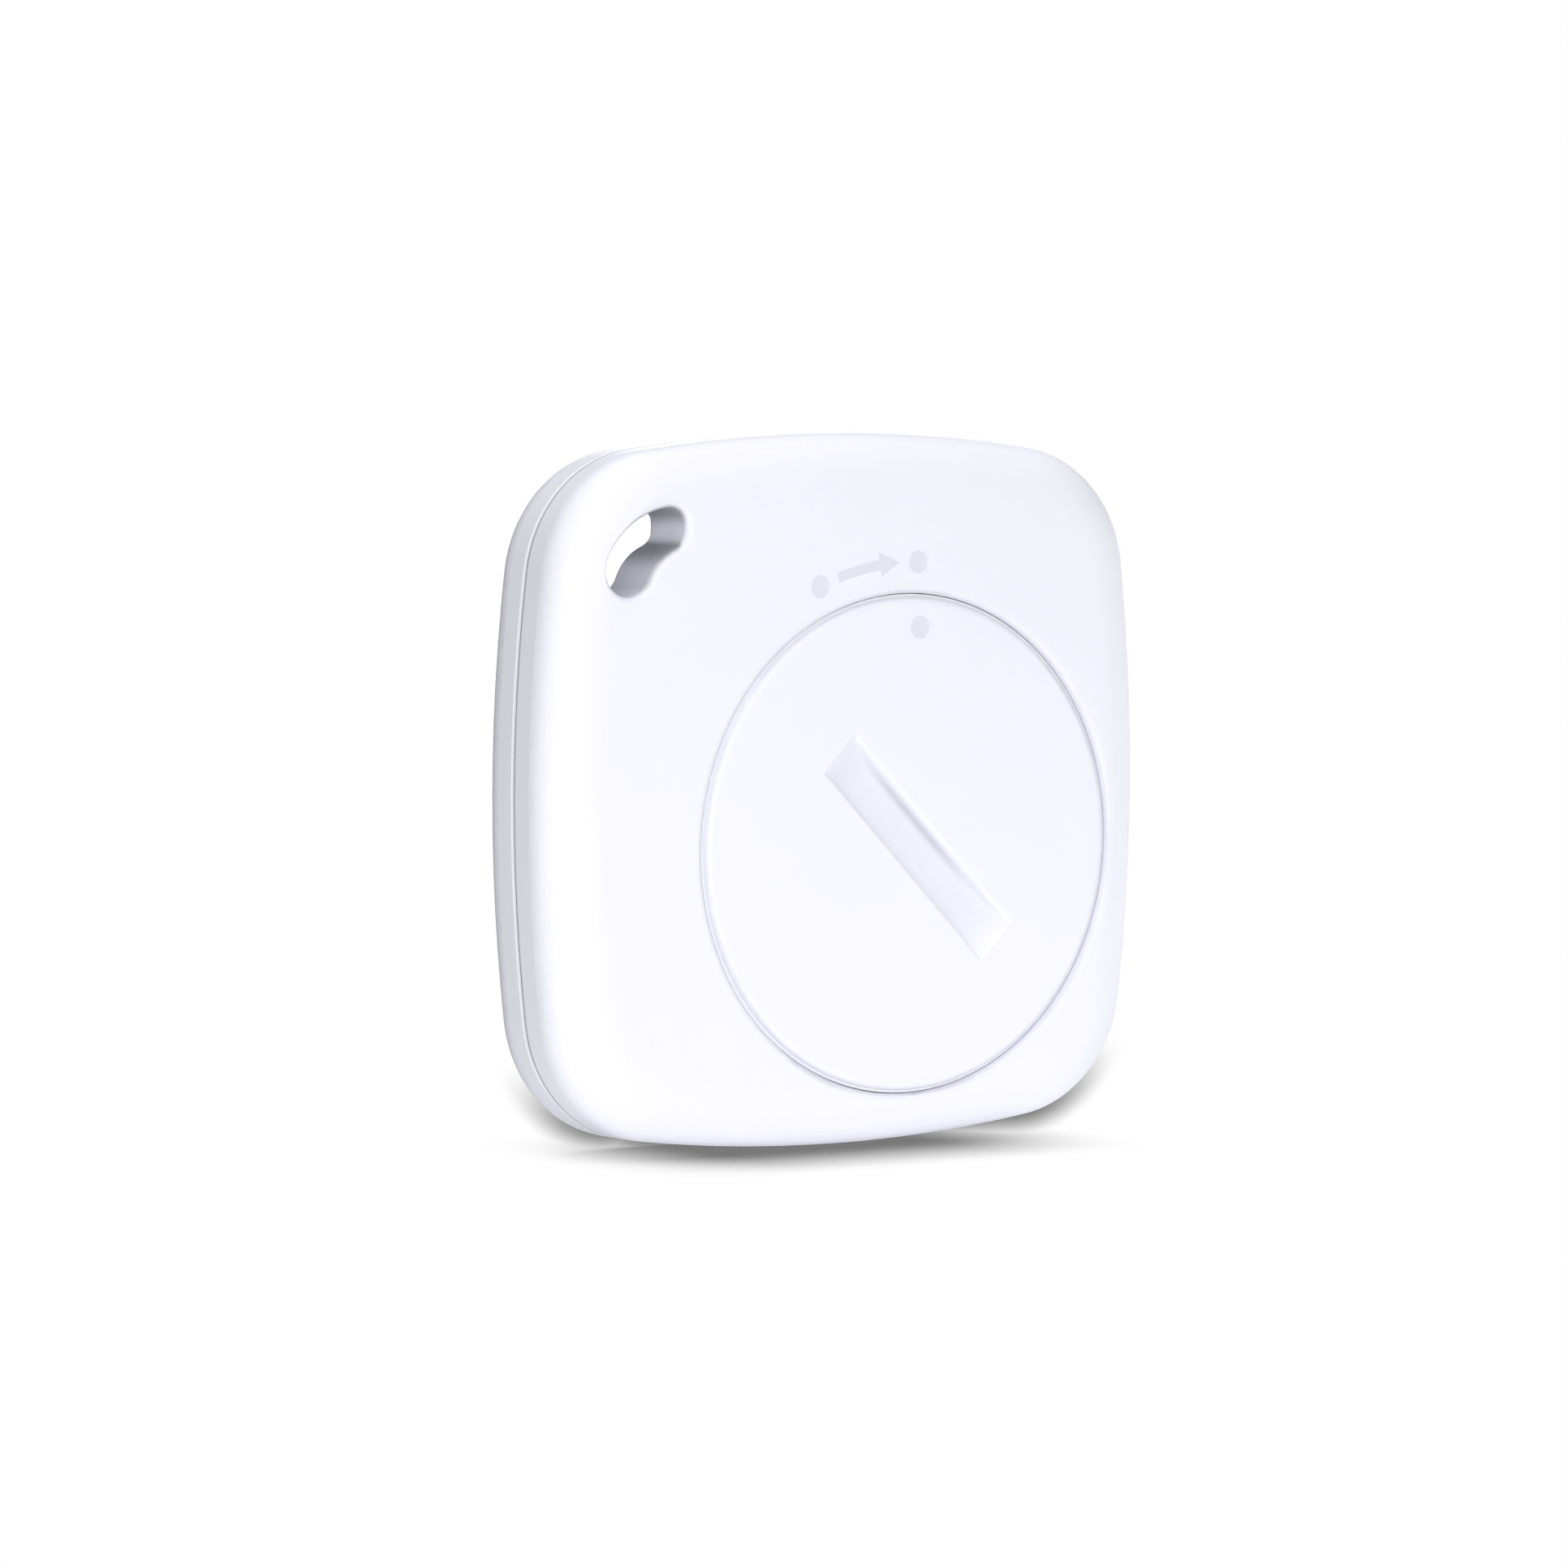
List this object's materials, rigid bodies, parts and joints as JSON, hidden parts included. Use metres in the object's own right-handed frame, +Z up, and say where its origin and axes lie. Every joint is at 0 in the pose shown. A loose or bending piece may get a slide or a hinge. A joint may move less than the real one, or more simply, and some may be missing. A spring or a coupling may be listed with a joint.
{
  "type": "bluetooth key finder",
  "caption": "Flat rounded-square tracker tag with a key ring hole in one corner, a round twist-off battery cover with a coin slot, and a press button on the front.",
  "frame": {"origin": "bottom centre of the bounding box, the tag standing on its lower edge", "axes": "+X to the right seen from the battery cover side, +Y from the battery cover to the front face, +Z up towards the edge beside the key ring hole"},
  "size_m": [0.0412, 0.0074, 0.04],
  "materials": {
    "shell_plastic": "fine matte moulded white plastic",
    "cover_plastic": "fine matte moulded white plastic",
    "button_plastic": "satin moulded white plastic",
    "seal_rubber": "soft black rubber",
    "cell_steel": "nickel plated steel",
    "gasket_plastic": "dark insulating plastic",
    "cradle_plastic": "black glass filled plastic",
    "contact_steel": "nickel plated spring strip",
    "board_laminate": "green solder mask",
    "chip_plastic": "black moulding compound",
    "crystal_metal": "bright metal can",
    "antenna_ceramic": "glazed ceramic",
    "inductor_ferrite": "dark ferrite",
    "capacitor_ceramic": "fired brown ceramic",
    "resistor_coat": "black glass coat",
    "pad_gold": "gold plating",
    "switch_plastic": "black moulded plastic",
    "plunger_plastic": "pale moulded plastic",
    "led_resin": "pale clear resin",
    "pipe_resin": "clear moulded resin",
    "piezo_brass": "rolled brass sheet",
    "piezo_ceramic": "silvered ceramic disc",
    "adhesive_ring": "soft adhesive film"
  },
  "bodies": {
    "body": {"rear_shell": "shell_plastic", "front_shell": "shell_plastic", "coin_cell_can": "cell_steel", "coin_cell_gasket": "gasket_plastic", "coin_cell_cap": "cell_steel", "battery_cradle": "cradle_plastic", "positive_contact_side": "contact_steel", "positive_contact_top": "contact_steel", "negative_contact": "contact_steel", "circuit_board": "board_laminate", "bluetooth_chip": "chip_plastic", "main_crystal": "crystal_metal", "clock_crystal": "crystal_metal", "chip_antenna": "antenna_ceramic", "boost_inductor": "inductor_ferrite", "driver_transistor": "chip_plastic", "capacitors": "capacitor_ceramic", "resistors": "resistor_coat", "test_pads": "pad_gold", "switch_body": "switch_plastic", "status_led": "led_resin", "light_pipe": "pipe_resin", "piezo_plate": "piezo_brass", "piezo_ceramic": "piezo_ceramic", "piezo_adhesive": "adhesive_ring", "piezo_contact_inner": "contact_steel", "piezo_contact_outer": "contact_steel"},
    "cover": {"battery_cover": "cover_plastic", "cover_seal": "seal_rubber"},
    "button": {"front_button": "button_plastic", "switch_plunger": "plunger_plastic"}
  },
  "joints": [
    {"name": "cover_twist", "type": "hinge", "parent": "body", "child": "cover", "pos_m": [0.0035, -0.003, 0.0169], "axis": [0, -1, 0], "range_deg": [0, 25]},
    {"name": "button_press", "type": "slide", "parent": "body", "child": "button", "axis": [0, -1, 0], "range_m": [0, 0.0002], "stiffness_N_per_m": 300}
  ]
}
